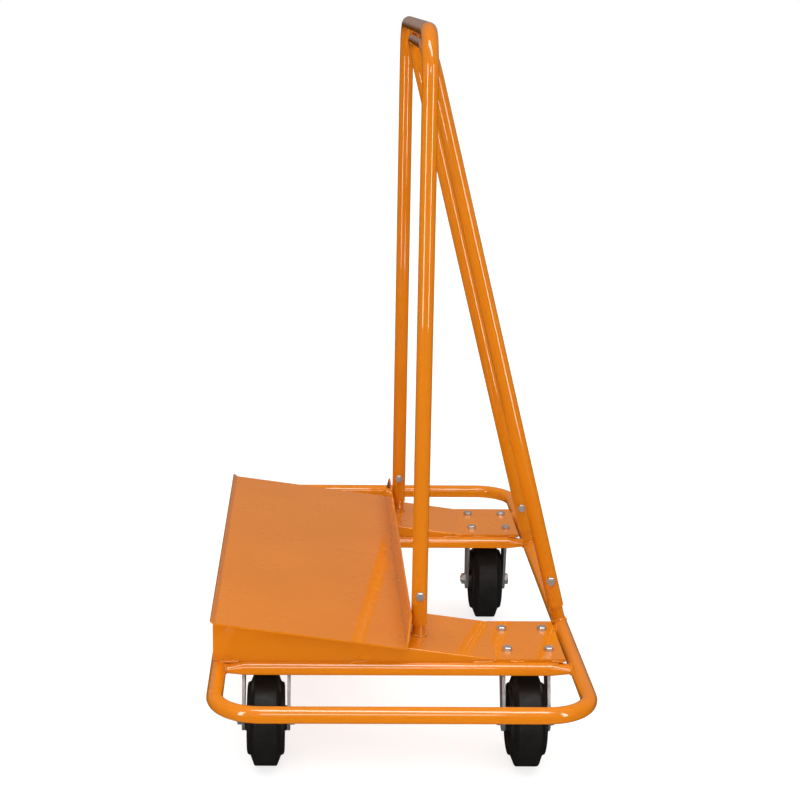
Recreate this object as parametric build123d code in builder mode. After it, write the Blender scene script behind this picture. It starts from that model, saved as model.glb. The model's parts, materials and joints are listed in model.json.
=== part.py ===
from build123d import *
import os
from math import atan, cos

# Panel cart: a bent-tube base on two swivel and two rigid casters, with a tilted deck along one
# side and an upright hoop, braced by a second, inclined hoop, that sheets of board lean against.
# Millimetres. +Z is up, +Y runs along the cart, +X points from the deck's open edge to the brace.
# The origin is on the floor, under the middle of the cart.

# --- tubes ---------------------------------------------------------------------------------------
TUBE = 25.4                 # outside diameter of the base loop and of both hoops
TUBE_WALL = 2.0
CROSS_TUBE = 22.2           # outside diameter of the four cross tubes
STUB_TUBE = 20.6            # outside diameter of the stubs that the hoops slip over
STUB_WALL = 2.5

# --- base loop and cross tubes -------------------------------------------------------------------
LENGTH = 1219.2
WIDTH = 594.0
LOOP_BEND = 71.0            # bend radius at the tube's middle
BUTT_GAP = 0.3              # where the loop's two ends are welded together
CASTER_HEIGHT = 190.5
RAIL_X = (WIDTH - TUBE) / 2
END_Y = (LENGTH - TUBE) / 2
LOOP_Z = CASTER_HEIGHT - CROSS_TUBE / 2
CASTER_X = 210.0
CASTER_Y = 326.0
CROSS_SPREAD = 86.0         # from a caster's middle line to each cross tube beside it
FLAT_START = 244.0          # where a cross tube starts to be flattened
FLAT_HEIGHT = 12.5
FLAT_WIDTH = 29.0
FLAT_END = RAIL_X - 7.0

# --- cross channels and caster pads --------------------------------------------------------------
SHEET = 3.0
CHANNEL_WIDTH = 174.0
CHANNEL_LEFT = -293.0
CHANNEL_RIGHT = 155.0       # where the right-hand pad begins
CHANNEL_HIGH = 256.0        # height of the channel's top at its left end
RAIL_NOTCH_X = -268.0       # the channel's walls step up over the rail to the left of this
RAIL_NOTCH_Z = LOOP_Z + TUBE / 2
PAD_THICK = 5.0
PAD_X = 110.0
PAD_Y = 172.0
PAD_Y_INSIDE = 167.0        # the left pads fit between the channel's walls
PAD_TOP = CASTER_HEIGHT + PAD_THICK
SLOPE = (CHANNEL_HIGH - PAD_TOP) / (CHANNEL_RIGHT - CHANNEL_LEFT)

# --- deck ----------------------------------------------------------------------------------------
DECK_LENGTH = 852.0
DECK_LEFT = -290.0
DECK_FOLD = 13.0
LIP_OUT = 7.0
LIP_UP = 6.0
FLANGE_OUT = 8.0
FLANGE_UP = 47.5
FLANGE_SQUARE = 12.0        # the flange's ends are square up to here, then mitred
MITRE_RUN = 26.0
FOLD_RADIUS = 4.0

# --- hoops and their sockets ---------------------------------------------------------------------
HEIGHT = 1178.0
POST_X = 35.5
POST_Y = 347.0
POST_FOOT = 231.0
POST_BEND = 70.0
POST_BOLT_Z = 281.0
POST_STUB_TOP = 305.0
TOP_BAR_Z = HEIGHT - TUBE / 2
BRACE_Y = 212.5
BRACE_BEND = 62.0
BRACE_DROP = 24.95          # brace bar's middle below the top bar's middle
BRACE_SIDE = 5.0            # and to its right, so that the two bars touch
LEG_FOOT = 35.0             # distances along a leg, from the rail's middle
LEG_BOLT = 84.5
LEG_STUB_TOP = 108.0

# --- fasteners -----------------------------------------------------------------------------------
SOCKET_BOLT = 8.0
SOCKET_HEX = 13.0
SOCKET_HEAD = 5.3
SOCKET_NUT = 6.5
CASTER_BOLT = 9.5
CASTER_HEX = 14.3
CASTER_HEAD = 6.0
CASTER_NUT = 8.0
HOLE_SLACK = 0.5            # a bolt hole is wider than its bolt by this
HEAD_CHAMFER = 0.8

# --- caster --------------------------------------------------------------------------------------
WHEEL_R = 76.2
TRAIL = 43.0                # a swivel caster's axle is this far behind the swivel's axis
PLATE_X = 101.6
PLATE_Y = 114.3
PLATE_THICK = 4.8
BOLTS_X = 66.7
BOLTS_Y = 92.1
RACE_IN = 20.0
RACE_OUT = 33.0
TRACK_R = 26.0
BALL_R = 3.95
BALL_COUNT = 12
BALL_Z = 178.6
RACE_GAP = 2.0
KINGPIN_R = 6.5
KINGPIN_HEAD_R = 11.0
KINGPIN_HEAD = 8.0
RUN_GAP = 0.05              # radial clearance of what turns in or on something
SIDE_GAP = 0.3
CROWN_LOW = 166.0
CROWN_THICK = 5.0
CROWN_FILLET = 4.0
FORK_IN = 34.0
FORK_SHEET = 5.0
FORK_FRONT = 26.0
FORK_BACK = -32.0
RIGID_CROWN = 68.0          # a rigid fork's crown along Y, clear of the caster's nuts
FORK_EYE_R = 20.0
AXLE_R = 6.35
AXLE_HEX = 19.0
AXLE_HEAD = 7.5
SLEEVE_R = 9.5
ROLLER_R = 2.2
ROLLER_COUNT = 12
ROLLER_LENGTH = 50.0
HUB_R = 20.0
WEB_THICK = 12.0
RIM_IN = 42.0
RIM_OUT = 50.0
RIM_WIDTH = 54.0
TYRE_SIDE = 59.0
TYRE_SIDE_R = 57.0
TYRE_SHOULDER = 49.0
TYRE_SHOULDER_R = 59.5
TREAD = 36.0

SWIVEL_CASTERS = {
    "front_left": (-CASTER_X, -CASTER_Y),
    "front_right": (CASTER_X, -CASTER_Y),
}
RIGID_CASTERS = {
    "rear_left": (-CASTER_X, CASTER_Y),
    "rear_right": (CASTER_X, CASTER_Y),
}
CASTERS = SWIVEL_CASTERS | RIGID_CASTERS
ENDS = {"front": -1, "rear": 1}

os.makedirs("parts", exist_ok=True)


def save(builder, name):
    """Label a finished piece and write it."""
    builder.part.label = name
    export_step(builder.part, "parts/" + name + ".step")


def channel_top(x):
    """Height of the channels' sloping top face at x."""
    return PAD_TOP + SLOPE * (CHANNEL_RIGHT - x)


def level(spot, height):
    """Horizontal plane at a height, with its origin over a spot on the floor."""
    return Plane((spot[0], spot[1], height))


def across(x, y, z):
    """Vertical plane through a point, looking along +Y: its x is +X and its y is +Z."""
    return Plane((x, y, z), x_dir=(1, 0, 0), z_dir=(0, -1, 0))


def side_on(x, y, z):
    """Vertical plane through a point, looking along -X: its x is +Y and its y is +Z."""
    return Plane((x, y, z), x_dir=(0, 1, 0), z_dir=(1, 0, 0))


# The brace leans: its legs start at the right rail's middle and end at its top bar.
BRACE_BAR = Vector(POST_X + BRACE_SIDE, 0, TOP_BAR_Z - BRACE_DROP)
RAIL_MIDDLE = Vector(RAIL_X, 0, LOOP_Z)
LEG = (BRACE_BAR - RAIL_MIDDLE).normalized()


def on_leg(distance, y):
    """Point on a brace leg's middle line, so far from the rail's middle."""
    return RAIL_MIDDLE + LEG * distance + Vector(0, y, 0)


def ring(outside, wall):
    """Section of a round tube, drawn in the current sketch."""
    Circle(outside / 2)
    Circle(outside / 2 - wall, mode=Mode.SUBTRACT)


def cross_hole(point, diameter):
    """Hole along Y, right through the tube at a point."""
    with Locations(point):
        Cylinder(diameter / 2, TUBE * 2, rotation=(90, 0, 0), mode=Mode.SUBTRACT)


# --- base ----------------------------------------------------------------------------------------
def base_loop():
    """The round-cornered tube frame, closed by a butt joint in the middle of its left rail."""
    with BuildPart() as loop:
        with BuildLine() as path:
            FilletPolyline(
                (-RAIL_X, BUTT_GAP / 2, LOOP_Z),
                (-RAIL_X, END_Y, LOOP_Z),
                (RAIL_X, END_Y, LOOP_Z),
                (RAIL_X, -END_Y, LOOP_Z),
                (-RAIL_X, -END_Y, LOOP_Z),
                (-RAIL_X, -BUTT_GAP / 2, LOOP_Z),
                radius=LOOP_BEND,
            )
        with BuildSketch(Plane(path.line @ 0, z_dir=path.line % 0)):
            ring(TUBE, TUBE_WALL)
        sweep()
    save(loop, "base_loop")


def cross_tube(name, y):
    """A tube across the base, pressed flat at both ends and fitted round the rails."""
    with BuildPart() as tube:
        with BuildSketch(side_on(-FLAT_START, y, LOOP_Z)):
            Circle(CROSS_TUBE / 2)
        extrude(amount=2 * FLAT_START)
        for side in (-1, 1):
            with BuildSketch(side_on(side * FLAT_START, y, LOOP_Z)):
                Circle(CROSS_TUBE / 2)
            with BuildSketch(side_on(side * FLAT_END, y, LOOP_Z)):
                Ellipse(FLAT_WIDTH / 2, FLAT_HEIGHT / 2)
            loft()
        with BuildSketch(side_on(-FLAT_START, y, LOOP_Z)):
            Circle(CROSS_TUBE / 2 - TUBE_WALL)
        extrude(amount=2 * FLAT_START, mode=Mode.SUBTRACT)
        for side in (-1, 1):
            with BuildSketch(side_on(side * FLAT_START, y, LOOP_Z)):
                Circle(CROSS_TUBE / 2 - TUBE_WALL)
            with BuildSketch(side_on(side * FLAT_END, y, LOOP_Z)):
                Ellipse(FLAT_WIDTH / 2 - TUBE_WALL, FLAT_HEIGHT / 2 - TUBE_WALL)
            loft(mode=Mode.SUBTRACT)
        with Locations((-RAIL_X, y, LOOP_Z), (RAIL_X, y, LOOP_Z)):
            Cylinder(TUBE / 2, 2 * FLAT_WIDTH, rotation=(90, 0, 0), mode=Mode.SUBTRACT)
    save(tube, name)


def channel_outline(inset):
    """Side view of a channel; an inset draws the hollow under its top instead."""
    low = RAIL_NOTCH_Z - 3 * inset
    left = CHANNEL_LEFT - inset
    right = CHANNEL_RIGHT + inset
    Polyline(
        (left, low),
        (RAIL_NOTCH_X, low),
        (RAIL_NOTCH_X + 2 * SHEET, CASTER_HEIGHT - 3 * inset),
        (right, CASTER_HEIGHT - 3 * inset),
        (right, channel_top(right) - inset / cos(atan(SLOPE))),
        (left, channel_top(left) - inset / cos(atan(SLOPE))),
        close=True,
    )


def cross_channel(name, y):
    """An upside-down channel of bent sheet, whose top slopes down to the right-hand pad."""
    with BuildPart() as channel:
        with BuildSketch(across(0, y, 0)):
            with BuildLine():
                channel_outline(0)
            make_face()
        extrude(amount=CHANNEL_WIDTH / 2, both=True)
        top_edges = channel.faces().sort_by(Axis.Z)[-1].edges().filter_by(Axis.Y, reverse=True)
        fillet(top_edges, SHEET)
        with BuildSketch(across(0, y, 0)):
            with BuildLine():
                channel_outline(SHEET)
            make_face()
        extrude(amount=CHANNEL_WIDTH / 2 - SHEET, both=True, mode=Mode.SUBTRACT)
    save(channel, name)


def caster_pad(name, spot):
    """Flat plate, welded over a pair of cross tubes, that a caster bolts up to."""
    depth = PAD_Y_INSIDE if spot[0] < 0 else PAD_Y
    with BuildPart() as pad:
        with BuildSketch(level(spot, CASTER_HEIGHT)):
            Rectangle(PAD_X, depth)
            with GridLocations(BOLTS_X, BOLTS_Y, 2, 2):
                Circle((CASTER_BOLT + HOLE_SLACK) / 2, mode=Mode.SUBTRACT)
        extrude(amount=PAD_THICK)
    save(pad, name)


def deck_panel():
    """Sheet along the left side, with a small lip outside and a tall mitred flange inside."""
    rise = SLOPE * (DECK_FOLD - DECK_LEFT)
    corner = Vector(DECK_FOLD, channel_top(DECK_FOLD))
    edge = Vector(DECK_LEFT, corner.Y + rise)
    with BuildPart() as deck:
        with BuildSketch(Plane.XZ):
            with BuildLine():
                FilletPolyline(
                    (edge.X - LIP_OUT, edge.Y + LIP_UP),
                    (edge.X, edge.Y),
                    (corner.X, corner.Y),
                    (corner.X + FLANGE_OUT, corner.Y + FLANGE_UP),
                    radius=FOLD_RADIUS,
                )
                offset(amount=SHEET, side=Side.LEFT)
            make_face()
        extrude(amount=DECK_LENGTH / 2, both=True)
        for side in (-1, 1):
            end = side * DECK_LENGTH / 2
            with BuildSketch(side_on(corner.X - 2 * SHEET, 0, corner.Y)):
                with BuildLine():
                    Polyline(
                        (end, FLANGE_SQUARE),
                        (end - side * MITRE_RUN, FLANGE_UP + SHEET),
                        (end, FLANGE_UP + SHEET),
                        close=True,
                    )
                make_face()
            extrude(amount=FLANGE_OUT + 4 * SHEET, mode=Mode.SUBTRACT)
    save(deck, "deck_panel")


# --- hoops ---------------------------------------------------------------------------------------
def upright_hoop():
    """The tall vertical hoop, which slips over the two post stubs."""
    with BuildPart() as hoop:
        with BuildLine() as path:
            FilletPolyline(
                (POST_X, -POST_Y, POST_FOOT),
                (POST_X, -POST_Y, TOP_BAR_Z),
                (POST_X, POST_Y, TOP_BAR_Z),
                (POST_X, POST_Y, POST_FOOT),
                radius=POST_BEND,
            )
        with BuildSketch(Plane(path.line @ 0, z_dir=path.line % 0)):
            ring(TUBE, TUBE_WALL)
        sweep()
        for side in ENDS.values():
            cross_hole((POST_X, side * POST_Y, POST_BOLT_Z), SOCKET_BOLT + HOLE_SLACK)
    save(hoop, "upright_hoop")


def brace_hoop():
    """The narrower hoop that leans in from the right rail and ends under the top bar."""
    reach = (BRACE_BAR - RAIL_MIDDLE).length
    with BuildPart() as hoop:
        with BuildLine() as path:
            FilletPolyline(
                on_leg(LEG_FOOT, -BRACE_Y),
                on_leg(reach, -BRACE_Y),
                on_leg(reach, BRACE_Y),
                on_leg(LEG_FOOT, BRACE_Y),
                radius=BRACE_BEND,
            )
        with BuildSketch(Plane(path.line @ 0, z_dir=path.line % 0)):
            ring(TUBE, TUBE_WALL)
        sweep()
        for side in ENDS.values():
            cross_hole(on_leg(LEG_BOLT, side * BRACE_Y), SOCKET_BOLT + HOLE_SLACK)
    save(hoop, "brace_hoop")


def post_stub(name, y):
    """Tube stub standing on a channel, its foot cut to the channel's slope."""
    slope_plane = Plane((POST_X, y, channel_top(POST_X)), z_dir=(SLOPE, 0, 1))
    with BuildPart() as stub:
        with BuildSketch(Plane((POST_X, y, CASTER_HEIGHT))):
            ring(STUB_TUBE, STUB_WALL)
        extrude(amount=POST_STUB_TOP - CASTER_HEIGHT)
        split(bisect_by=slope_plane, keep=Keep.TOP)
        cross_hole((POST_X, y, POST_BOLT_Z), SOCKET_BOLT + HOLE_SLACK)
    save(stub, name)


def leg_stub(name, y):
    """Tube stub leaning on the right rail, its foot shaped round the rail."""
    with BuildPart() as stub:
        with BuildSketch(Plane(on_leg(0, y), z_dir=LEG)):
            ring(STUB_TUBE, STUB_WALL)
        extrude(amount=LEG_STUB_TOP)
        with Locations((RAIL_X, y, LOOP_Z)):
            Cylinder(TUBE / 2, 2 * TUBE, rotation=(90, 0, 0), mode=Mode.SUBTRACT)
        cross_hole(on_leg(LEG_BOLT, y), SOCKET_BOLT + HOLE_SLACK)
    save(stub, name)


# --- fasteners -----------------------------------------------------------------------------------
def hexagon(across_flats):
    """Hexagon drawn in the current sketch."""
    RegularPolygon(across_flats / 2, 6, major_radius=False)


SOCKETS = []
for end_side in ENDS.values():
    SOCKETS.append(Vector(POST_X, end_side * POST_Y, POST_BOLT_Z))
    SOCKETS.append(on_leg(LEG_BOLT, end_side * BRACE_Y))


def socket_bolts():
    """One bolt along Y through each hoop end and its stub, its head towards -Y."""
    with BuildPart() as bolts:
        for point in SOCKETS:
            front = across(point.X, point.Y - TUBE / 2, point.Z)
            with BuildSketch(front):
                hexagon(SOCKET_HEX)
            extrude(amount=SOCKET_HEAD)
            with BuildSketch(front):
                Circle(SOCKET_BOLT / 2)
            extrude(amount=-(TUBE + SOCKET_NUT + 1))
        heads = bolts.faces().filter_by(GeomType.PLANE).filter_by(lambda f: f.normal_at().Y < -0.9)
        heads = heads.filter_by(lambda f: len(f.edges()) == 6)
        chamfer(heads.edges(), HEAD_CHAMFER)
    save(bolts, "socket_bolts")


def socket_nuts():
    """The four nuts of the socket bolts."""
    with BuildPart() as nuts:
        for point in SOCKETS:
            with BuildSketch(across(point.X, point.Y + TUBE / 2, point.Z)):
                hexagon(SOCKET_HEX)
                Circle(SOCKET_BOLT / 2, mode=Mode.SUBTRACT)
            extrude(amount=-SOCKET_NUT)
        outer_faces = nuts.faces().filter_by(lambda f: f.normal_at().Y > 0.9)
        chamfer([edge for face in outer_faces for edge in face.outer_wire().edges()], HEAD_CHAMFER)
    save(nuts, "socket_nuts")


def caster_bolts():
    """Four bolts down through each pad and caster plate, with their heads on the pad."""
    with BuildPart() as bolts:
        for spot in CASTERS.values():
            with BuildSketch(level(spot, PAD_TOP)):
                with GridLocations(BOLTS_X, BOLTS_Y, 2, 2):
                    hexagon(CASTER_HEX)
            extrude(amount=CASTER_HEAD)
            with BuildSketch(level(spot, PAD_TOP)):
                with GridLocations(BOLTS_X, BOLTS_Y, 2, 2):
                    Circle(CASTER_BOLT / 2)
            extrude(amount=-(PAD_THICK + PLATE_THICK + CASTER_NUT + 1))
        heads = bolts.faces().filter_by(Axis.Z).group_by(Axis.Z)[-1]
        chamfer(heads.edges(), HEAD_CHAMFER)
    save(bolts, "caster_bolts")


def caster_nuts():
    """The nuts under the caster plates."""
    with BuildPart() as nuts:
        for spot in CASTERS.values():
            with BuildSketch(level(spot, CASTER_HEIGHT - PLATE_THICK - CASTER_NUT)):
                with GridLocations(BOLTS_X, BOLTS_Y, 2, 2):
                    hexagon(CASTER_HEX)
                    Circle(CASTER_BOLT / 2, mode=Mode.SUBTRACT)
            extrude(amount=CASTER_NUT)
        lower_faces = nuts.faces().filter_by(Axis.Z).group_by(Axis.Z)[0]
        chamfer([edge for face in lower_faces for edge in face.outer_wire().edges()], HEAD_CHAMFER)
    save(nuts, "caster_nuts")


# --- casters -------------------------------------------------------------------------------------
PLATE_LOW = CASTER_HEIGHT - PLATE_THICK
RACE_SPLIT_HIGH = BALL_Z + RACE_GAP / 2
RACE_SPLIT_LOW = BALL_Z - RACE_GAP / 2
FORK_OUT = FORK_IN + FORK_SHEET


def ball_track(spot):
    """Cut the swivel's ball track, a little wider than the balls, into the current part."""
    with BuildSketch(across(spot[0], spot[1], BALL_Z)) as track:
        with Locations((TRACK_R, 0)):
            Circle(BALL_R + RUN_GAP)
    revolve(track.sketch, axis=Axis((spot[0], spot[1], 0), (0, 0, 1)), mode=Mode.SUBTRACT)


def plate_outline():
    """A caster's top plate with its four bolt holes, drawn in the current sketch."""
    RectangleRounded(PLATE_X, PLATE_Y, CASTER_BOLT)
    with GridLocations(BOLTS_X, BOLTS_Y, 2, 2):
        Circle((CASTER_BOLT + HOLE_SLACK) / 2, mode=Mode.SUBTRACT)


def rigid_plate(name, spot):
    """Plain bolt-on top plate of a rigid caster."""
    with BuildPart() as plate:
        with BuildSketch(level(spot, PLATE_LOW)):
            plate_outline()
        extrude(amount=PLATE_THICK)
    save(plate, name)


def swivel_plate(name, spot):
    """Bolt-on top plate with the upper ball race under it."""
    with BuildPart() as plate:
        with BuildSketch(level(spot, PLATE_LOW)):
            plate_outline()
            Circle(KINGPIN_R, mode=Mode.SUBTRACT)
        extrude(amount=PLATE_THICK)
        with BuildSketch(level(spot, RACE_SPLIT_HIGH)):
            Circle(RACE_OUT)
            Circle(RACE_IN, mode=Mode.SUBTRACT)
        extrude(amount=PLATE_LOW - RACE_SPLIT_HIGH)
        ball_track(spot)
    save(plate, name)


def kingpin(name, spot):
    """Rivet through the middle of the plate that the fork hangs on and turns round."""
    head_top = CROWN_LOW - SIDE_GAP
    with BuildPart() as pin:
        with BuildSketch(level(spot, head_top - KINGPIN_HEAD)):
            Circle(KINGPIN_HEAD_R)
        extrude(amount=KINGPIN_HEAD)
        chamfer(pin.faces().sort_by(Axis.Z)[0].edges(), 2 * HEAD_CHAMFER)
        with BuildSketch(level(spot, head_top)):
            Circle(KINGPIN_R)
        extrude(amount=CASTER_HEIGHT - head_top)
    save(pin, name)


def swivel_balls(name, spot):
    """The balls between the plate's race and the fork's race."""
    with BuildPart() as balls:
        with Locations((spot[0], spot[1], BALL_Z)):
            with PolarLocations(TRACK_R, BALL_COUNT):
                Sphere(BALL_R)
    save(balls, name)


def fork_legs(axle, crown_front, crown_back, crown_top):
    """Add a fork's two legs; crown_front and crown_back are measured along Y from the axle."""
    for inner in (-FORK_OUT, FORK_IN):
        with BuildSketch(side_on(axle[0] + inner, axle[1], 0)) as leg:
            with BuildLine():
                Polyline(
                    (crown_front, crown_top),
                    (crown_back, crown_top),
                    (-FORK_EYE_R, WHEEL_R),
                    (0, WHEEL_R - FORK_EYE_R),
                    (FORK_EYE_R, WHEEL_R),
                    close=True,
                )
            make_face()
            with Locations((0, WHEEL_R)):
                Circle(FORK_EYE_R)
        extrude(leg.sketch, amount=FORK_SHEET)


def round_shoulders(yoke):
    """Round the two long outer edges where a fork's crown is bent down into its legs."""
    shoulders = yoke.edges().filter_by(Axis.Y).group_by(Axis.Z)[-1].sort_by(Axis.X)
    fillet([shoulders[0], shoulders[-1]], CROWN_FILLET)


def axle_bore(axle):
    """Hole for the axle through both legs of a fork."""
    with Locations((axle[0], axle[1], WHEEL_R)):
        Cylinder(AXLE_R + RUN_GAP, 4 * FORK_OUT, rotation=(0, 90, 0), mode=Mode.SUBTRACT)


def swivel_fork(name, spot, axle):
    """Pressed fork: a crown with the lower race, and two legs that trail back to the axle."""
    crown_top = CROWN_LOW + CROWN_THICK
    with BuildPart() as yoke:
        with BuildSketch(Plane((spot[0], spot[1] + (FORK_FRONT + FORK_BACK) / 2, CROWN_LOW))):
            Rectangle(2 * FORK_OUT, FORK_FRONT - FORK_BACK)
        extrude(amount=CROWN_THICK)
        fork_legs(axle, TRAIL + FORK_FRONT, TRAIL + FORK_BACK, crown_top)
        round_shoulders(yoke)
        with BuildSketch(level(spot, crown_top)):
            Circle(RACE_OUT)
        extrude(amount=RACE_SPLIT_LOW - crown_top)
        with Locations((spot[0], spot[1], CROWN_LOW)):
            Cylinder(KINGPIN_R + RUN_GAP, 2 * CASTER_HEIGHT, mode=Mode.SUBTRACT)
        axle_bore(axle)
        ball_track(spot)
    save(yoke, name)


def rigid_fork(name, axle):
    """Pressed fork welded under its plate, with the axle straight below the plate's middle."""
    with BuildPart() as yoke:
        with BuildSketch(level(axle, PLATE_LOW - CROWN_THICK)):
            Rectangle(2 * FORK_OUT, RIGID_CROWN)
        extrude(amount=CROWN_THICK)
        fork_legs(axle, RIGID_CROWN / 2, -RIGID_CROWN / 2, PLATE_LOW)
        round_shoulders(yoke)
        axle_bore(axle)
    save(yoke, name)


def axle_set(name, axle_spot):
    """Axle bolt and its nut, clamped across the fork's legs."""
    x, y, z = axle_spot[0], axle_spot[1], WHEEL_R
    with BuildPart() as axle:
        with BuildSketch(side_on(x + FORK_OUT, y, z)):
            hexagon(AXLE_HEX)
        extrude(amount=AXLE_HEAD)
        chamfer(axle.faces().sort_by(Axis.X)[-1].edges(), HEAD_CHAMFER)
        with BuildSketch(side_on(x + FORK_OUT, y, z)):
            Circle(AXLE_R)
        extrude(amount=-(2 * FORK_OUT + AXLE_HEAD + 2))
        with BuildSketch(side_on(x - FORK_OUT, y, z)):
            hexagon(AXLE_HEX)
            Circle(AXLE_R + RUN_GAP, mode=Mode.SUBTRACT)
        extrude(amount=-AXLE_HEAD)
    save(axle, name)


def axle_sleeve(name, axle_spot):
    """Spacer tube round the axle bolt that the rollers run on."""
    with BuildPart() as sleeve:
        with BuildSketch(side_on(axle_spot[0], axle_spot[1], WHEEL_R)):
            Circle(SLEEVE_R)
            Circle(AXLE_R + RUN_GAP, mode=Mode.SUBTRACT)
        extrude(amount=FORK_IN, both=True)
    save(sleeve, name)


def hub_rollers(name, axle_spot):
    """Rollers of the wheel's bearing."""
    with BuildPart() as rollers:
        with BuildSketch(side_on(axle_spot[0], axle_spot[1], WHEEL_R)):
            with PolarLocations(SLEEVE_R + RUN_GAP + ROLLER_R, ROLLER_COUNT):
                Circle(ROLLER_R)
        extrude(amount=ROLLER_LENGTH / 2, both=True)
    save(rollers, name)


def turned(axle_spot, points):
    """Turn a profile, given as (along the axle, radius) points, about a wheel's axle."""
    x, y = axle_spot
    with BuildSketch(across(x, y, WHEEL_R)) as profile:
        with BuildLine():
            Polyline(*points, close=True)
        make_face()
    revolve(profile.sketch, axis=Axis((x, y, WHEEL_R), (1, 0, 0)))


def wheel_hub(name, axle_spot):
    """Cast wheel centre: boss, web and rim."""
    bore = SLEEVE_R + 2 * RUN_GAP + 2 * ROLLER_R
    boss = FORK_IN - SIDE_GAP
    with BuildPart() as hub:
        turned(axle_spot, [
            (-boss, bore),
            (-boss, HUB_R),
            (-WEB_THICK / 2, HUB_R + 3),
            (-WEB_THICK / 2, RIM_IN),
            (-RIM_WIDTH / 2, RIM_IN + 2),
            (-RIM_WIDTH / 2, RIM_OUT),
            (RIM_WIDTH / 2, RIM_OUT),
            (RIM_WIDTH / 2, RIM_IN + 2),
            (WEB_THICK / 2, RIM_IN),
            (WEB_THICK / 2, HUB_R + 3),
            (boss, HUB_R),
            (boss, bore),
        ])
    save(hub, name)


def tyre(name, axle_spot):
    """Moulded tyre: stepped sides, bevelled shoulders and a flat tread."""
    with BuildPart() as band:
        turned(axle_spot, [
            (-TYRE_SIDE / 2, RIM_OUT),
            (-TYRE_SIDE / 2, TYRE_SIDE_R),
            (-TYRE_SHOULDER / 2, TYRE_SHOULDER_R),
            (-TREAD / 2, WHEEL_R),
            (TREAD / 2, WHEEL_R),
            (TYRE_SHOULDER / 2, TYRE_SHOULDER_R),
            (TYRE_SIDE / 2, TYRE_SIDE_R),
            (TYRE_SIDE / 2, RIM_OUT),
        ])
        tread_edges = band.edges().filter_by(GeomType.CIRCLE).group_by(lambda e: e.radius)[-1]
        fillet(tread_edges, 3)
        side_edges = band.edges().filter_by(GeomType.CIRCLE).filter_by(
            lambda e: abs(e.radius - TYRE_SIDE_R) < 0.1
        )
        fillet(side_edges, 1.5)
    save(band, name)


# --- the cart ------------------------------------------------------------------------------------
base_loop()
for end_name, end_side in ENDS.items():
    cross_tube(end_name + "_outer_cross_tube", end_side * (CASTER_Y + CROSS_SPREAD))
    cross_tube(end_name + "_inner_cross_tube", end_side * (CASTER_Y - CROSS_SPREAD))
    cross_channel(end_name + "_channel", end_side * CASTER_Y)
    post_stub(end_name + "_post_stub", end_side * POST_Y)
    leg_stub(end_name + "_leg_stub", end_side * BRACE_Y)
deck_panel()
upright_hoop()
brace_hoop()
socket_bolts()
socket_nuts()
caster_bolts()
caster_nuts()
axles = {}
for place, spot in SWIVEL_CASTERS.items():
    axles[place] = (spot[0], spot[1] - TRAIL)
    swivel_plate(place + "_plate", spot)
    kingpin(place + "_kingpin", spot)
    swivel_balls(place + "_balls", spot)
    swivel_fork(place + "_fork", spot, axles[place])
for place, spot in RIGID_CASTERS.items():
    axles[place] = spot
    rigid_plate(place + "_plate", spot)
    rigid_fork(place + "_fork", axles[place])
for place, spot in CASTERS.items():
    caster_pad(place + "_pad", spot)
    axle_set(place + "_axle", axles[place])
    axle_sleeve(place + "_sleeve", axles[place])
    hub_rollers(place + "_rollers", axles[place])
    wheel_hub(place + "_hub", axles[place])
    tyre(place + "_tyre", axles[place])
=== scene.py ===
import json
import math
import random

import bmesh
import bpy
from mathutils import Matrix, Vector


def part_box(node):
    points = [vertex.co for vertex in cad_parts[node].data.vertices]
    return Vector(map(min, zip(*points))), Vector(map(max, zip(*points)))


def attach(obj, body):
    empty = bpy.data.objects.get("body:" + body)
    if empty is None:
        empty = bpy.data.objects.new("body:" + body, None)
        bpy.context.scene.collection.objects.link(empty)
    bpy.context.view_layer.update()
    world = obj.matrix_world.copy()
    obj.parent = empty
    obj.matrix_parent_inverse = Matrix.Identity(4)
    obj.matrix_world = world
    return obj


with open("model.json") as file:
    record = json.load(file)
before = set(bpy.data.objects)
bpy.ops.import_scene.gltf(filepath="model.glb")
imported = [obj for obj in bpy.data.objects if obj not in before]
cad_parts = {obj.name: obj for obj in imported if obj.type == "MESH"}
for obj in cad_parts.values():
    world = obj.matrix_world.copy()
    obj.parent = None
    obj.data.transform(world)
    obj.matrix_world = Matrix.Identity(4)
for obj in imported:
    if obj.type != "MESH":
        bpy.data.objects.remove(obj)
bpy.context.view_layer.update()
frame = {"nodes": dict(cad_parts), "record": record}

# A glossy orange panel cart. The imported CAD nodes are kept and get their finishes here, and what the
# CAD leaves out is added: welds and their spatter, and the fine mould lines on the tyres.
# Metres. +Z is up, +Y runs along the cart, +X points from the deck's open edge to the brace.

MM = 0.001
PLACES = ("front_left", "front_right", "rear_left", "rear_right")
ENDS = {"front": -1, "rear": 1}


# --- where things are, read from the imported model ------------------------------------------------
def middle(node):
    """Centre of a CAD node's box."""
    low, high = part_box(node)
    return (low + high) / 2


loop_low, loop_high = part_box("base_loop")
hoop_low, hoop_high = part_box("upright_hoop")
brace_low, brace_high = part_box("brace_hoop")
channel_low, channel_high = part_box("front_channel")
pad_low, pad_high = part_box("front_right_pad")
TUBE_R = (loop_high.z - loop_low.z) / 2
RAIL_X = loop_high.x - TUBE_R
RAIL_Z = (loop_high.z + loop_low.z) / 2
CASTER_Y = middle("rear_channel").y
POST = Vector(((hoop_low.x + hoop_high.x) / 2, 0, 0))
TOP_BAR = Vector((POST.x, 0, hoop_high.z - TUBE_R))
BRACE_BAR = Vector((brace_low.x + TUBE_R, 0, brace_high.z - TUBE_R))
RAIL = Vector((RAIL_X, 0, RAIL_Z))
LEG = (BRACE_BAR - RAIL).normalized()
PAD_TOP = pad_high.z
TUBE_TOP = pad_low.z
SLOPE = (channel_high.z - PAD_TOP) / (channel_high.x - channel_low.x)


def channel_top(x):
    """Height of a channel's sloping top at x."""
    return PAD_TOP + SLOPE * (channel_high.x - x)


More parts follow.
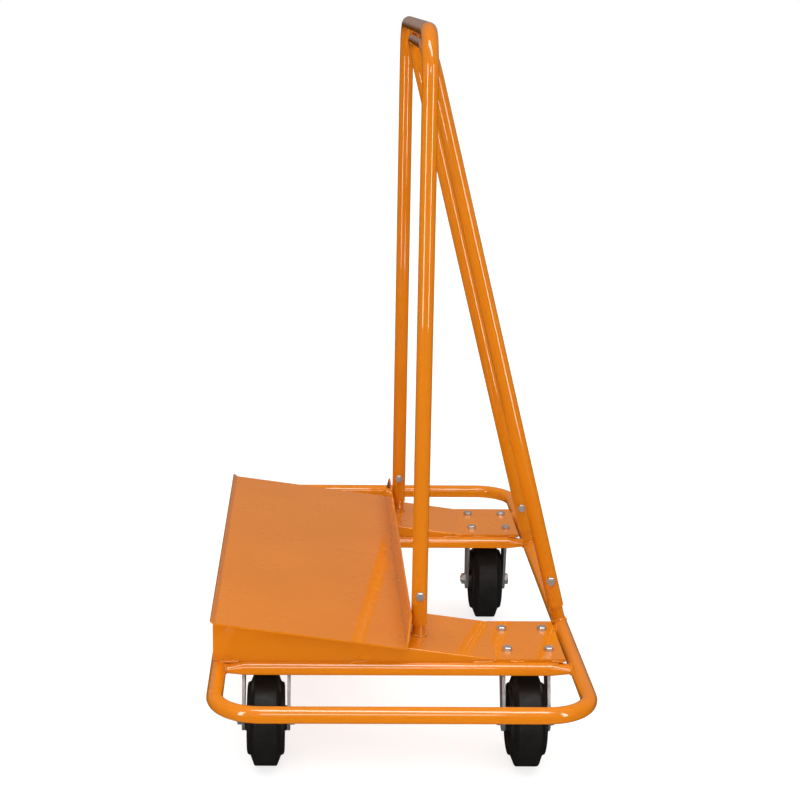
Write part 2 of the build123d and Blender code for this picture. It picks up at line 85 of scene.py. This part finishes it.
# --- materials -----------------------------------------------------------------------------------
class Finish:
    """A node material on the Principled shader, with its noises taken in object coordinates."""

    def __init__(self, name):
        self.material = bpy.data.materials.new(name)
        self.material.use_nodes = True
        self.tree = self.material.node_tree
        self.shader = next(n for n in self.tree.nodes if n.type == "BSDF_PRINCIPLED")
        self.place = self.tree.nodes.new("ShaderNodeTexCoord").outputs["Object"]

    def constant(self, **values):
        """Set values on the shader's own sockets; an underscore stands for a space."""
        for name, value in values.items():
            self.shader.inputs[name.replace("_", " ")].default_value = value

    def noise(self, scale, detail=2.0, roughness=0.5, stretch=None):
        """Noise, so many waves a metre; stretch scales the coordinates first."""
        node = self.tree.nodes.new("ShaderNodeTexNoise")
        node.inputs["Scale"].default_value = scale
        node.inputs["Detail"].default_value = detail
        node.inputs["Roughness"].default_value = roughness
        place = self.place
        if stretch is not None:
            mapping = self.tree.nodes.new("ShaderNodeMapping")
            mapping.inputs["Scale"].default_value = stretch
            self.tree.links.new(place, mapping.inputs["Vector"])
            place = mapping.outputs["Vector"]
        self.tree.links.new(place, node.inputs["Vector"])
        return node.outputs["Fac"]

    def cells(self, scale):
        """Distance inside random cells, so many a metre."""
        node = self.tree.nodes.new("ShaderNodeTexVoronoi")
        node.inputs["Scale"].default_value = scale
        self.tree.links.new(self.place, node.inputs["Vector"])
        return node.outputs["Distance"]

    def cell_shades(self, scale):
        """A random shade for each cell, so many a metre."""
        node = self.tree.nodes.new("ShaderNodeTexVoronoi")
        node.inputs["Scale"].default_value = scale
        self.tree.links.new(self.place, node.inputs["Vector"])
        return node.outputs["Color"]

    def ramp(self, value, stops):
        """Colours along a value; stops are (position, colour)."""
        node = self.tree.nodes.new("ShaderNodeValToRGB")
        elements = node.color_ramp.elements
        while len(elements) < len(stops):
            elements.new(0.5)
        for element, (position, colour) in zip(elements, stops):
            element.position = position
            element.color = (*colour, 1.0)
        self.tree.links.new(value, node.inputs["Fac"])
        return node.outputs["Color"]

    def span(self, value, low, high, start=0.3, stop=0.7):
        """The value's start..stop stretched to low..high."""
        node = self.tree.nodes.new("ShaderNodeMapRange")
        node.inputs["From Min"].default_value = start
        node.inputs["From Max"].default_value = stop
        node.inputs["To Min"].default_value = low
        node.inputs["To Max"].default_value = high
        self.tree.links.new(value, node.inputs["Value"])
        return node.outputs["Result"]

    def mix(self, factor, a, b, kind="MIX"):
        """Two colours mixed by a factor, which is a number or an output."""
        node = self.tree.nodes.new("ShaderNodeMix")
        node.data_type = "RGBA"
        node.blend_type = kind
        for socket, value in ((node.inputs[0], factor), (node.inputs[6], a), (node.inputs[7], b)):
            if isinstance(value, bpy.types.NodeSocket):
                self.tree.links.new(value, socket)
            elif isinstance(value, tuple):
                socket.default_value = (*value, 1.0)
            else:
                socket.default_value = value
        return node.outputs[2]

    def bump(self, height, strength, distance, under=None):
        """Bump from a height, on top of another bump."""
        node = self.tree.nodes.new("ShaderNodeBump")
        node.inputs["Strength"].default_value = strength
        node.inputs["Distance"].default_value = distance
        self.tree.links.new(height, node.inputs["Height"])
        if under is not None:
            self.tree.links.new(under, node.inputs["Normal"])
        return node.outputs["Normal"]

    def connect(self, **outputs):
        """Link outputs to the shader's inputs; an underscore stands for a space."""
        for name, output in outputs.items():
            self.tree.links.new(output, self.shader.inputs[name.replace("_", " ")])
        return self.material


def powder_coat(name, peel=1.0):
    """Glossy orange powder coat: a shade's drift over the part, fine grain and orange peel."""
    f = Finish(name)
    drift = f.ramp(f.noise(5, 2), [(0.3, (0.700, 0.196, 0.0012)), (0.7, (0.745, 0.212, 0.0020))])
    grain = f.ramp(f.noise(1400, 2), [(0.35, (0.94, 0.93, 0.9)), (0.65, (1.0, 1.0, 1.0))])
    colour = f.mix(0.6, drift, grain, "MULTIPLY")
    normal = f.bump(f.noise(420, 2, 0.4), 0.035 * peel, 0.2 * MM)
    normal = f.bump(f.noise(1700, 2), 0.04 * peel, 0.06 * MM, normal)
    rough = f.span(f.noise(12, 2), 0.26, 0.32)
    f.constant(Specular_IOR_Level=0.1, Coat_Weight=1.0, Coat_Roughness=0.035, Coat_IOR=1.5)
    return f.connect(Base_Color=colour, Roughness=rough, Normal=normal)


def zinc(name):
    """Bright zinc plating: faint crystals, a rolled grain and small differences in gloss."""
    f = Finish(name)
    shade = f.ramp(f.noise(40, 3), [(0.3, (0.52, 0.53, 0.54)), (0.7, (0.70, 0.71, 0.72))])
    crystals = f.ramp(f.cell_shades(260), [(0.0, (0.86, 0.86, 0.88)), (1.0, (1.0, 1.0, 0.99))])
    colour = f.mix(0.7, shade, crystals, "MULTIPLY")
    normal = f.bump(f.noise(900, 2, 0.5, (1, 1, 0.06)), 0.12, 0.1 * MM)
    rough = f.span(f.noise(150, 3), 0.28, 0.44)
    f.constant(Metallic=0.8)
    return f.connect(Base_Color=colour, Roughness=rough, Normal=normal)


def bearing_steel(name):
    """Ground, slightly oily steel."""
    f = Finish(name)
    colour = f.ramp(f.noise(120, 2), [(0.3, (0.38, 0.38, 0.38)), (0.7, (0.52, 0.52, 0.51))])
    rough = f.span(f.noise(600, 2), 0.12, 0.22)
    f.constant(Metallic=1.0)
    return f.connect(Base_Color=colour, Roughness=rough)


def rubber(name):
    """Moulded black rubber: a satin skin, clouded with bloom."""
    f = Finish(name)
    bloom = f.ramp(f.noise(55, 4), [(0.35, (0.0095, 0.0086, 0.0080)), (0.75, (0.0140, 0.0126, 0.0118))])
    specks = f.ramp(f.cells(900), [(0.0, (1.0, 1.0, 1.0)), (0.25, (0.82, 0.82, 0.82))])
    colour = f.mix(0.8, bloom, specks, "MULTIPLY")
    normal = f.bump(f.noise(1500, 3), 0.18, 0.12 * MM)
    normal = f.bump(f.noise(110, 2), 0.10, 0.4 * MM, normal)
    rough = f.span(f.noise(80, 3), 0.42, 0.58)
    f.constant(Specular_IOR_Level=0.15)
    return f.connect(Base_Color=colour, Roughness=rough, Normal=normal)


def black_enamel(name):
    """Black paint over a sand-cast surface."""
    f = Finish(name)
    colour = f.ramp(f.noise(70, 3), [(0.3, (0.010, 0.010, 0.011)), (0.7, (0.021, 0.021, 0.022))])
    normal = f.bump(f.noise(700, 4), 0.30, 0.3 * MM)
    rough = f.span(f.noise(200, 3), 0.30, 0.46)
    return f.connect(Base_Color=colour, Roughness=rough, Normal=normal)


FINISHES = {
    "frame_paint": powder_coat("powder_coat_orange"),
    "zinc": zinc("zinc_plating"),
    "bearing_steel": bearing_steel("bearing_steel"),
    "wheel_core": black_enamel("black_enamel"),
    "tyre": rubber("black_rubber"),
}
weld_coat = powder_coat("powder_coat_on_weld", 3.0)

for part in frame["record"]["subparts"]:
    node = frame["nodes"][part["node"]]
    node.data.materials.clear()
    node.data.materials.append(FINISHES[part["material_slot"]])


# --- pieces --------------------------------------------------------------------------------------
def piece(name, mesh_data, body, material):
    """Finish a bmesh as a smooth-shaded piece that rides on a body."""
    bmesh.ops.recalc_face_normals(mesh_data, faces=mesh_data.faces)
    data = bpy.data.meshes.new(name)
    mesh_data.to_mesh(data)
    mesh_data.free()
    data.polygons.foreach_set("use_smooth", [True] * len(data.polygons))
    data.materials.append(material)
    thing = bpy.data.objects.new(name, data)
    bpy.context.scene.collection.objects.link(thing)
    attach(thing, body)


def sweep_rings(mesh, rings, closed):
    """Skin rings of points into a tube, closed on itself or capped at both ends."""
    loops = [[mesh.verts.new(p) for p in ring] for ring in rings]
    count = len(loops[0])
    for i in range(len(loops) if closed else len(loops) - 1):
        a, b = loops[i], loops[(i + 1) % len(loops)]
        for k in range(count):
            mesh.faces.new((a[k], a[(k + 1) % count], b[(k + 1) % count], b[k]))
    if not closed:
        mesh.faces.new(loops[0])
        mesh.faces.new(loops[-1])


WELD_STEP = 0.7 * MM            # between the rings that a bead is skinned from
WELD_SIDES = 10
RIPPLE = 2.6 * MM               # length of one ripple along a bead
RIPPLE_DEPTH = 0.22             # of the bead's radius


def resampled(path, closed, step):
    """Points evenly along a path."""
    corners = list(path) + ([path[0]] if closed else [])
    lengths = [0.0]
    for a, b in zip(corners, corners[1:]):
        lengths.append(lengths[-1] + (b - a).length)
    count = max(6, round(lengths[-1] / step))
    points = []
    k = 0
    for i in range(count if closed else count + 1):
        s = lengths[-1] * i / count
        while lengths[k + 1] < s and k < len(lengths) - 2:
            k += 1
        t = (s - lengths[k]) / (lengths[k + 1] - lengths[k])
        points.append(corners[k].lerp(corners[k + 1], t))
    return points, lengths[-1] / count


def bead(mesh, path, radius, draw, closed=False):
    """Add a weld bead: a worm of overlapping ripples that swells a little."""
    points, step = resampled(path, closed, WELD_STEP)
    count = len(points)
    total = step * count
    ripples = max(2, round(total / RIPPLE))
    waves = []
    for _ in range(3):
        waves.append((draw.uniform(0, math.tau), draw.choice((2, 3, 5)), draw.uniform(0.02, 0.05)))
    rings = []
    for i, p in enumerate(points):
        ahead = points[(i + 1) % count] if closed or i < count - 1 else p
        behind = points[i - 1] if closed or i > 0 else p
        along = (ahead - behind).normalized()
        side = along.cross(Vector((0, 0, 1)))
        if side.length < 0.1:
            side = along.cross(Vector((0, 1, 0)))
        side.normalize()
        up = side.cross(along)
        s = i / count
        swell = 1.0 + sum(a * math.sin(phase + math.tau * n * s) for phase, n, a in waves)
        ripple = 1 - RIPPLE_DEPTH + RIPPLE_DEPTH * abs(math.sin(math.pi * ripples * s))
        taper = 1.0
        if not closed:
            edge = min(i, count - 1 - i) * step / radius
            taper = math.sqrt(max(0.05, 1 - max(0.0, 1 - edge) ** 2))
        r = radius * swell * ripple * taper
        ring = []
        for k in range(WELD_SIDES):
            turn = math.tau * k / WELD_SIDES
            ring.append(p + side * (r * math.cos(turn)) + up * (r * math.sin(turn)))
        rings.append(ring)
    sweep_rings(mesh, rings, closed)


def ring_path(point_at, count=72):
    """Closed path from a function of the angle."""
    return [point_at(math.tau * i / count) for i in range(count)]


def weld_piece(name, seed, paths, radius):
    """One piece holding the beads along several paths, given as (points, closed)."""
    mesh = bmesh.new()
    draw = random.Random(seed)
    for points, closed in paths:
        bead(mesh, points, radius * draw.uniform(0.93, 1.07), draw, closed)
    piece(name, mesh, "frame", weld_coat)


# --- welds of the base ---------------------------------------------------------------------------
# A cross tube is pressed flat to this half width and half height where it meets a rail.
FLAT_HALF_WIDTH = 13.6 * MM
FLAT_HALF_HEIGHT = 6.9 * MM


def cross_tube_weld(side, y):
    """Path round a flattened tube end, on the rail's surface."""
    def point_at(angle):
        z = FLAT_HALF_HEIGHT * math.sin(angle)
        x = RAIL_X - math.sqrt(TUBE_R ** 2 - z ** 2)
        return Vector((side * x, y + FLAT_HALF_WIDTH * math.cos(angle), RAIL_Z + z))
    return ring_path(point_at)


rail_paths = []
for end in ENDS:
    for tube in ("outer", "inner"):
        tube_y = middle(end + "_" + tube + "_cross_tube").y
        for side in (-1, 1):
            rail_paths.append((cross_tube_weld(side, tube_y), True))
weld_piece("cross_tube_welds", 11, rail_paths, 2.4 * MM)

# The loop's butt weld is left round the inner side of the left rail and ground flush outside.
BUTT_REACH = 105                # degrees to either side of straight inwards
butt_path = []
for degrees in range(-BUTT_REACH, BUTT_REACH + 1, 5):
    angle = math.radians(degrees)
    butt_path.append(Vector((-RAIL_X + TUBE_R * math.cos(angle), 0, RAIL_Z + TUBE_R * math.sin(angle))))
butt_mesh = bmesh.new()
bead(butt_mesh, butt_path, 1.5 * MM, random.Random(12))
piece("loop_butt_weld", butt_mesh, "frame", weld_coat)


# --- welds of the channels and pads --------------------------------------------------------------
def straight(a, b):
    """Path of a straight stitch."""
    return ([Vector(a), Vector(b)], False)


# Stitches are given by where they start and stop along X.
WALL_STITCHES = ((-0.286, -0.252), (-0.076, -0.048), (0.118, 0.150))
PAD_STITCHES = ((0.176, 0.200), (0.243, 0.262))
DECK_STITCHES = ((-0.262, -0.238), (-0.152, -0.128), (-0.046, -0.022))
channel_paths = []
pad_paths = []
for end, sign in ENDS.items():
    half = (channel_high.y - channel_low.y) / 2
    for outward in (-1, 1):
        wall_y = sign * CASTER_Y + outward * half
        for start, stop in WALL_STITCHES:
            height = TUBE_TOP if start > -RAIL_X + TUBE_R else TUBE_TOP - 0.5 * MM
            channel_paths.append(straight((start, wall_y, height), (stop, wall_y, height)))
        edge_y = sign * CASTER_Y + outward * (pad_high.y - pad_low.y) / 2
        for start, stop in PAD_STITCHES:
            height = TUBE_TOP + 1 * MM
            pad_paths.append(straight((start, edge_y, height), (stop, edge_y, height)))
weld_piece("channel_welds", 13, channel_paths, 2.3 * MM)
weld_piece("pad_welds", 14, pad_paths, 2.2 * MM)

seam_paths = []
for sign in ENDS.values():
    reach = (channel_high.y - channel_low.y) / 2 - 6 * MM
    y = sign * CASTER_Y
    seam = Vector((channel_high.x, 0, PAD_TOP - 0.5 * MM))
    seam_paths.append(straight(seam + Vector((0, y - reach, 0)), seam + Vector((0, y + reach, 0))))
weld_piece("pad_seam_welds", 15, seam_paths, 1.1 * MM)


# --- welds of the hoops' sockets -----------------------------------------------------------------
stub_low, stub_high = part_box("front_post_stub")
STUB_R = (stub_high.x - stub_low.x) / 2


def post_foot(y):
    """Path round a post stub, on the channel's slope."""
    def point_at(angle):
        x = POST.x + (STUB_R + 0.6 * MM) * math.cos(angle)
        return Vector((x, y + (STUB_R + 0.6 * MM) * math.sin(angle), channel_top(x) + 0.8 * MM))
    return ring_path(point_at)


def leg_foot(y):
    """Path round a leg stub, on the rail's surface."""
    across = Vector((0, 1, 0)).cross(LEG)

    def point_at(angle):
        a = (STUB_R + 0.4 * MM) * math.cos(angle)
        b = (STUB_R + 0.4 * MM) * math.sin(angle)
        up = math.sqrt((TUBE_R + 0.6 * MM) ** 2 - a ** 2)
        return RAIL + LEG * up + across * a + Vector((0, y + b, 0))
    return ring_path(point_at)


foot_paths = []
for end in ENDS:
    foot_paths.append((post_foot(middle(end + "_post_stub").y), True))
    foot_paths.append((leg_foot(middle(end + "_leg_stub").y), True))
weld_piece("stub_welds", 16, foot_paths, 2.7 * MM)

# The brace's top bar is stitched to the upright's top bar in the two grooves between them. These
# stitches run along Y.
BRACE_STITCHES = ((-0.128, -0.088), (0.088, 0.128))
GROOVE_R = 2.6 * MM
between = (BRACE_BAR + TOP_BAR) / 2
apart = (BRACE_BAR - TOP_BAR).normalized()
groove = Vector((0, 1, 0)).cross(apart) * math.sqrt((TUBE_R + 0.6 * GROOVE_R) ** 2 - TUBE_R ** 2)
brace_paths = []
for start, stop in BRACE_STITCHES:
    for edge in (-1, 1):
        here = between + groove * edge
        brace_paths.append(straight(here + Vector((0, start, 0)), here + Vector((0, stop, 0))))
weld_piece("brace_welds", 17, brace_paths, GROOVE_R)


# --- tacks that hold the deck on the channels ----------------------------------------------------
deck_paths = []
for sign in ENDS.values():
    wall_y = sign * (CASTER_Y + (channel_high.y - channel_low.y) / 2 - 1.0 * MM)
    for start, stop in DECK_STITCHES:
        under = [Vector((x, wall_y, channel_top(x) - 0.8 * MM)) for x in (start, stop)]
        deck_paths.append((under, False))
weld_piece("deck_tacks", 18, deck_paths, 1.5 * MM)


# --- weld spatter --------------------------------------------------------------------------------
TUBE_SPLASHES = (-0.245, -0.060, 0.134, 0.250)      # where along X it lies on a cross tube
TUBE_SPLASH_END = 0.262
STITCH_DROPS = 26
TUBE_DROPS = 18
STUB_DROPS = 14


def blob(mesh, where, size, draw):
    """Add a small squashed drop."""
    turn = Matrix.Rotation(draw.uniform(0, math.tau), 4, "Z")
    length = size * draw.uniform(0.9, 1.4)
    width = size * draw.uniform(0.8, 1.1)
    scale = Matrix.Diagonal((length, width, size * 0.7, 1))
    place = Matrix.Translation(where) @ turn @ scale
    bmesh.ops.create_icosphere(mesh, subdivisions=2, radius=1.0, matrix=place)


def spatter(name, seed):
    """Drops thrown about on the channel walls, the cross tubes and the channel tops."""
    draw = random.Random(seed)
    mesh = bmesh.new()
    for end, sign in ENDS.items():
        wall_y = sign * CASTER_Y - (channel_high.y - channel_low.y) / 2
        for start, stop in WALL_STITCHES:
            for _ in range(STITCH_DROPS):
                x = draw.gauss((start + stop) / 2, 0.012)
                x = min(max(x, channel_low.x + 1 * MM), channel_high.x - 1 * MM)
                up = abs(draw.gauss(0, 3.5 * MM))
                spot = Vector((x, wall_y, RAIL_Z + TUBE_R + up))
                blob(mesh, spot, draw.uniform(0.5, 1.3) * MM, draw)
        tube_y = sign * CASTER_Y - (middle("rear_outer_cross_tube").y - CASTER_Y)
        tube_r = TUBE_TOP - RAIL_Z
        for centre in TUBE_SPLASHES:
            for _ in range(TUBE_DROPS):
                x = min(draw.gauss(centre, 0.010), TUBE_SPLASH_END)
                tilt = math.radians(draw.uniform(8, 62))
                spot = Vector((x, tube_y - tube_r * math.sin(tilt), RAIL_Z + tube_r * math.cos(tilt)))
                blob(mesh, spot, draw.uniform(0.4, 1.1) * MM, draw)
        post_y = middle(end + "_post_stub").y
        for _ in range(STUB_DROPS):
            angle = draw.uniform(0, math.tau)
            reach = STUB_R + abs(draw.gauss(4, 4)) * MM
            x = POST.x + reach * math.cos(angle)
            spot = Vector((x, post_y + reach * math.sin(angle), channel_top(x)))
            blob(mesh, spot, draw.uniform(0.25, 0.6) * MM, draw)
    piece(name, mesh, "frame", weld_coat)


spatter("weld_spatter", 19)


# --- tyres ---------------------------------------------------------------------------------------
MOULD_LINE_R = 53.5 * MM        # radius of the line on each side of a tyre
MOULD_LINE_HEIGHT = 0.6 * MM


def band(mesh, centre, x, radius, section, sides=8, count=144):
    """Add a thin moulded ring round an axle that runs along X."""
    rings = []
    for i in range(count):
        angle = math.tau * i / count
        out = Vector((0, math.cos(angle), math.sin(angle)))
        ring = []
        for k in range(sides):
            turn = math.tau * k / sides
            sideways = Vector((x + section * math.cos(turn), 0, 0))
            ring.append(centre + sideways + out * (radius + section * math.sin(turn)))
        rings.append(ring)
    sweep_rings(mesh, rings, True)


for place in PLACES:
    tyre_low, tyre_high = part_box(place + "_tyre")
    centre = (tyre_low + tyre_high) / 2
    side_x = (tyre_high.x - tyre_low.x) / 2
    lines = bmesh.new()
    for way in (-1, 1):
        band(lines, centre, way * side_x, MOULD_LINE_R, MOULD_LINE_HEIGHT)
    piece(place + "_mould_lines", lines, "wheel_" + place, FINISHES["tyre"])


# --- floor, light and camera ---------------------------------------------------------------------
FLOOR_HALF = 40.0
FLOOR_GLOW = 0.78               # keeps the floor nearly white under soft, low light
floor_mesh = bpy.data.meshes.new("floor")
floor_corners = [
    (-FLOOR_HALF, -FLOOR_HALF, 0),
    (FLOOR_HALF, -FLOOR_HALF, 0),
    (FLOOR_HALF, FLOOR_HALF, 0),
    (-FLOOR_HALF, FLOOR_HALF, 0),
]
floor_mesh.from_pydata(floor_corners, [], [(0, 1, 2, 3)])
floor = bpy.data.objects.new("floor", floor_mesh)
bpy.context.scene.collection.objects.link(floor)
pale = Finish("pale_floor")
pale_colour = pale.ramp(pale.noise(0.8, 2), [(0.3, (0.32, 0.32, 0.32)), (0.7, (0.35, 0.35, 0.35))])
pale.constant(Roughness=0.9, Emission_Color=(1.0, 1.0, 1.0, 1.0), Emission_Strength=FLOOR_GLOW)
floor_mesh.materials.append(pale.connect(Base_Color=pale_colour))
floor.visible_glossy = False


def soft_box(name, where, target, width, height, radiance, gloss):
    """Rectangular soft box aimed at a point; gloss says whether it is for highlights or for fill."""
    lamp = bpy.data.lights.new(name, "AREA")
    lamp.shape = "RECTANGLE"
    lamp.size = width
    lamp.size_y = height
    lamp.energy = radiance * math.pi * width * height
    box = bpy.data.objects.new(name, lamp)
    box.location = where
    box.rotation_euler = (Vector(target) - Vector(where)).to_track_quat("-Z", "Y").to_euler()
    box.visible_glossy = gloss
    box.visible_diffuse = not gloss
    bpy.context.scene.collection.objects.link(box)


# Diffuse light comes from the overhead lamp and the front fill, which highlights don't show. The
# highlights come from soft boxes that only they show, so the two are set apart from each other.
SUN_ANGLE = 90.0                # degrees across: a ceiling-wide diffuser rather than a sun
overhead = bpy.data.lights.new("overhead", "SUN")
overhead.angle = math.radians(SUN_ANGLE)
overhead.energy = 3.1
ceiling = bpy.data.objects.new("overhead", overhead)
ceiling.visible_glossy = False
bpy.context.scene.collection.objects.link(ceiling)
soft_box("front_fill", (-0.6, -4.4, 2.2), (0, 0, 0.5), 2.4, 1.6, 5.0, False)
soft_box("ceiling_box", (0.15, -1.5, 3.5), (0, -1.35, 0), 0.8, 2.6, 12.0, True)
soft_box("front_box", (0.1, -4.1, 2.3), (0, -0.6, 0.2), 1.0, 0.8, 8.0, True)
soft_box("left_strip", (-2.0, -2.56, 1.35), (0, -0.33, 1.35), 0.45, 2.4, 14.0, True)
soft_box("right_strip", (2.0, -2.56, 1.35), (0, -0.33, 1.35), 0.45, 2.4, 14.0, True)

# The room's walls are dim above the horizon and dark below it. The camera sees them white.
AMBIENT = 0.2
BELOW_HORIZON = 0.01
HORIZON_BLUR = 0.03
world = bpy.data.worlds.new("studio")
bpy.context.scene.world = world
world.use_nodes = True
sky = world.node_tree
room = next(n for n in sky.nodes if n.type == "BACKGROUND")
room.inputs["Color"].default_value = (1.0, 1.0, 1.0, 1.0)
aim = sky.nodes.new("ShaderNodeSeparateXYZ")
sky.links.new(sky.nodes.new("ShaderNodeTexCoord").outputs["Generated"], aim.inputs["Vector"])
walls = sky.nodes.new("ShaderNodeMapRange")
walls.inputs["From Min"].default_value = -HORIZON_BLUR
walls.inputs["From Max"].default_value = HORIZON_BLUR
walls.inputs["To Min"].default_value = BELOW_HORIZON
walls.inputs["To Max"].default_value = AMBIENT
sky.links.new(aim.outputs["Z"], walls.inputs["Value"])
sky.links.new(walls.outputs["Result"], room.inputs["Strength"])
backdrop = sky.nodes.new("ShaderNodeBackground")
backdrop.inputs["Color"].default_value = (1.0, 1.0, 1.0, 1.0)
either = sky.nodes.new("ShaderNodeMixShader")
sky.links.new(sky.nodes.new("ShaderNodeLightPath").outputs["Is Camera Ray"], either.inputs["Fac"])
sky.links.new(room.outputs["Background"], either.inputs[1])
sky.links.new(backdrop.outputs["Background"], either.inputs[2])
world_output = next(n for n in sky.nodes if n.type == "OUTPUT_WORLD")
sky.links.new(either.outputs["Shader"], world_output.inputs["Surface"])
bpy.context.scene.view_settings.view_transform = "Standard"

FOCAL_PX = 1759.7
PICTURE_PX = 800
SENSOR = 36.0
CAMERA_AT = (-0.1423, -3.0254, 1.2277)
YAW = 0.0175
PITCH = -0.2302
ROLL = -0.0101
SHIFT_X = 0.075
ahead = Vector((math.sin(YAW) * math.cos(PITCH), math.cos(YAW) * math.cos(PITCH), math.sin(PITCH)))
level_right = Vector((math.cos(YAW), -math.sin(YAW), 0))
level_down = ahead.cross(level_right)
right = level_right * math.cos(ROLL) + level_down * math.sin(ROLL)
down = level_down * math.cos(ROLL) - level_right * math.sin(ROLL)
lens = bpy.data.cameras.new("camera")
lens.sensor_width = SENSOR
lens.lens = FOCAL_PX / PICTURE_PX * SENSOR
lens.shift_x = SHIFT_X
lens.clip_end = 200
camera = bpy.data.objects.new("camera", lens)
axes = Matrix((right, -down, -ahead)).transposed().to_4x4()
camera.matrix_world = Matrix.Translation(CAMERA_AT) @ axes
bpy.context.scene.collection.objects.link(camera)
bpy.context.scene.camera = camera
